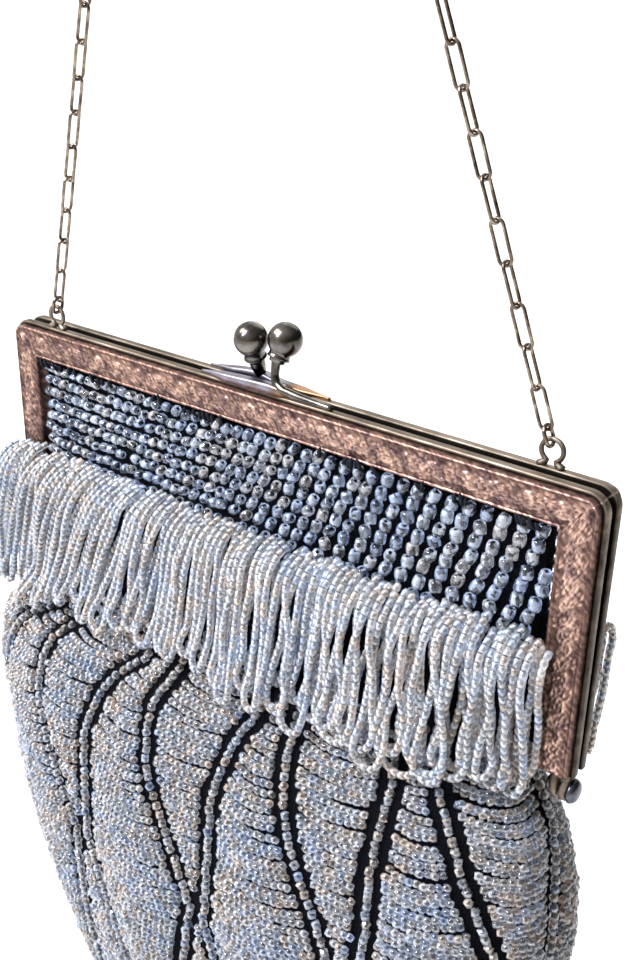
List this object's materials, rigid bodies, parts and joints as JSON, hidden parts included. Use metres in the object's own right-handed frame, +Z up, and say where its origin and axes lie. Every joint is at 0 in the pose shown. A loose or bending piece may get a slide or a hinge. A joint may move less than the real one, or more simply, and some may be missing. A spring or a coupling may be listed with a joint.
{
  "type": "beaded bag",
  "caption": "Evening frame bag: hollow beaded cloth pouch with looped bead fringes, hinged relief frame, ball kiss clasp and a link chain handle it hangs from.",
  "frame": {"origin": "the place where the chain is hung, at the middle of the bend over it", "axes": "+Z up along the hang, +X to the right of someone facing the bag, front towards -Y"},
  "size_m": [0.1478, 0.0498, 0.3447],
  "materials": {
    "relief_metal": "cast relief, tarnished",
    "rivet_metal": "domed, dark",
    "clasp_metal": "polished, tarnished",
    "chain_metal": "tarnished silver plate",
    "beaded_cloth": "glass beads on black cloth",
    "glass_beads": "clear glass beads"
  },
  "bodies": {
    "root": {"frame_front": "relief_metal", "frame_back": "relief_metal", "hinge_rivet_left": "rivet_metal", "hinge_rivet_right": "rivet_metal", "clasp_front": "clasp_metal", "clasp_back": "clasp_metal", "chain": "chain_metal", "bag_body": "beaded_cloth", "fringe_front": "glass_beads", "fringe_back": "glass_beads"}
  },
  "joints": []
}
